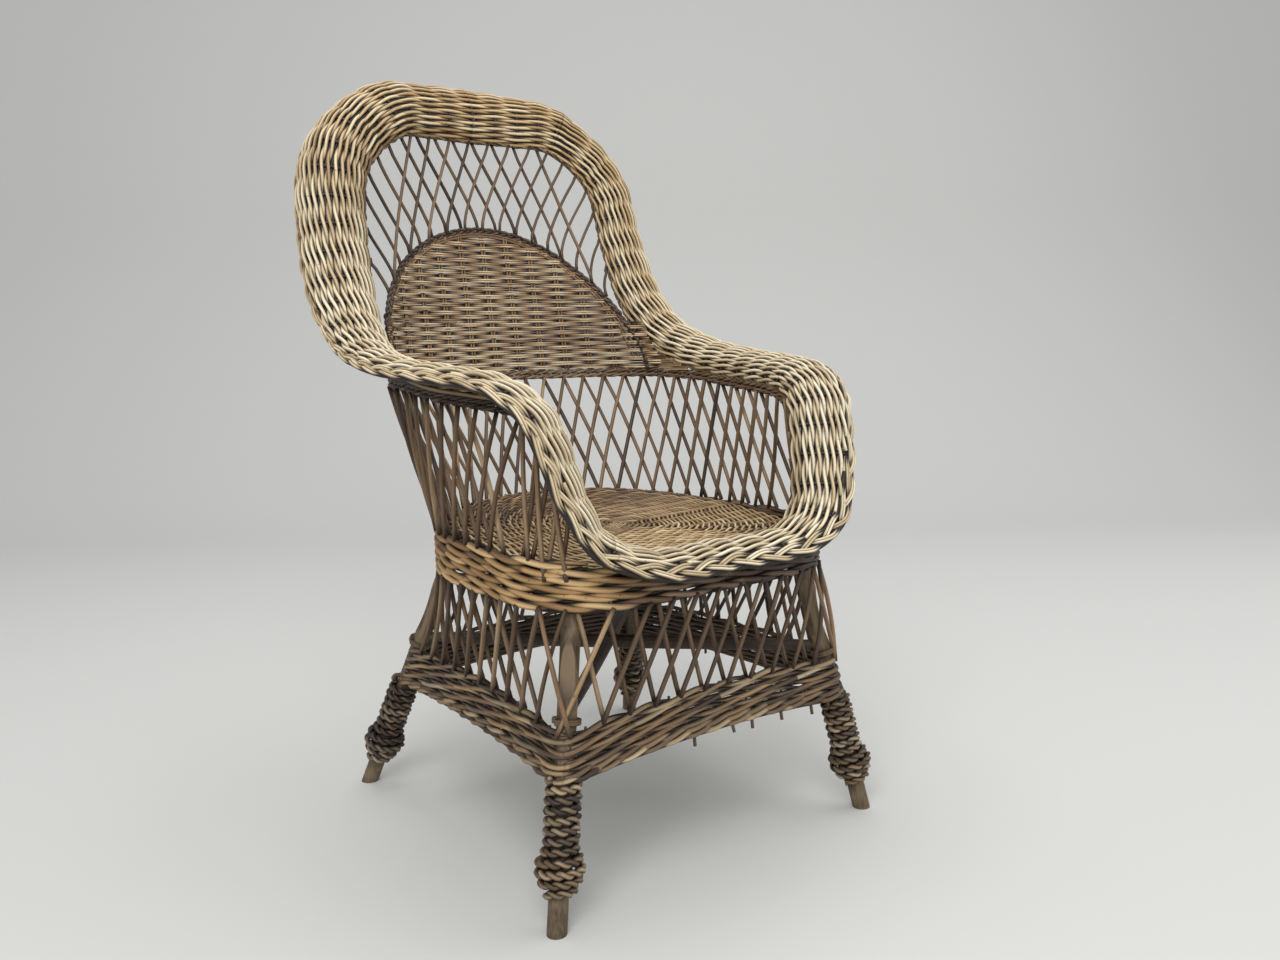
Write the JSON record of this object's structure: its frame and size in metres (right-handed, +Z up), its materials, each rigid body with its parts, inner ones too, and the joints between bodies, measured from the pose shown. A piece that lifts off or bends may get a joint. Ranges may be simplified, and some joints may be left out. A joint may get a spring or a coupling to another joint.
{
  "type": "wicker armchair",
  "caption": "Woven willow armchair with a rolled border over arms and back, open lattice walls, a half-moon back panel, a round seat and rope-bound splayed legs.",
  "frame": {"origin": "on the floor under the middle of the chair's bounding box", "axes": "+Z up from the floor, -Y towards the open front of the seat, +X towards the right arm as seen from the front"},
  "size_m": [0.6494, 0.7014, 1.0402],
  "materials": {
    "rim_willow": "peeled willow, semi-matt",
    "waist_willow": "dark willow, matt",
    "panel_willow": "willow, semi-matt",
    "rod_willow": "willow rods, semi-matt",
    "band_willow": "twisted willow, semi-matt",
    "seat_willow": "woven willow, matt",
    "hoop_wood": "rough bent wood",
    "base_willow": "willow, semi-matt",
    "leg_rope": "twisted dark willow rope",
    "leg_padding": "bound cane",
    "collar_cane": "split cane",
    "rail_wood": "shaved wood",
    "leg_wood": "aged round wood"
  },
  "bodies": {
    "root": {"back_arch": "panel_willow", "back_panel": "panel_willow", "back_rods_inner": "rod_willow", "back_rods_outer": "rod_willow", "base_border_back": "base_willow", "base_border_front": "base_willow", "base_border_left": "base_willow", "base_border_right": "base_willow", "base_edge_back": "base_willow", "base_edge_front": "base_willow", "base_edge_left": "base_willow", "base_edge_right": "base_willow", "fan_rods_left": "rod_willow", "fan_rods_right": "rod_willow", "leg_back_left": "leg_wood", "leg_back_right": "leg_wood", "leg_collars": "collar_cane", "leg_front_left": "leg_wood", "leg_front_right": "leg_wood", "leg_paddings": "leg_padding", "leg_wraps": "leg_rope", "rail_from_front_left": "rail_wood", "rail_from_front_right": "rail_wood", "rim_arm_front_left": "rim_willow", "rim_arm_front_right": "rim_willow", "rim_arm_left": "rim_willow", "rim_arm_right": "rim_willow", "rim_back_left": "rim_willow", "rim_back_right": "rim_willow", "rim_crest": "rim_willow", "rim_front": "rim_willow", "seat_band": "band_willow", "seat_band_upper": "band_willow", "seat_hoop": "hoop_wood", "seat_panel": "seat_willow", "skirt_rods_back": "rod_willow", "skirt_rods_front": "rod_willow", "skirt_rods_left": "rod_willow", "skirt_rods_right": "rod_willow", "waist_back": "waist_willow", "waist_left": "waist_willow", "waist_right": "waist_willow", "wall_rods_back": "rod_willow", "wall_rods_back_left": "rod_willow", "wall_rods_back_right": "rod_willow", "wall_rods_left": "rod_willow", "wall_rods_right": "rod_willow"}
  },
  "joints": []
}
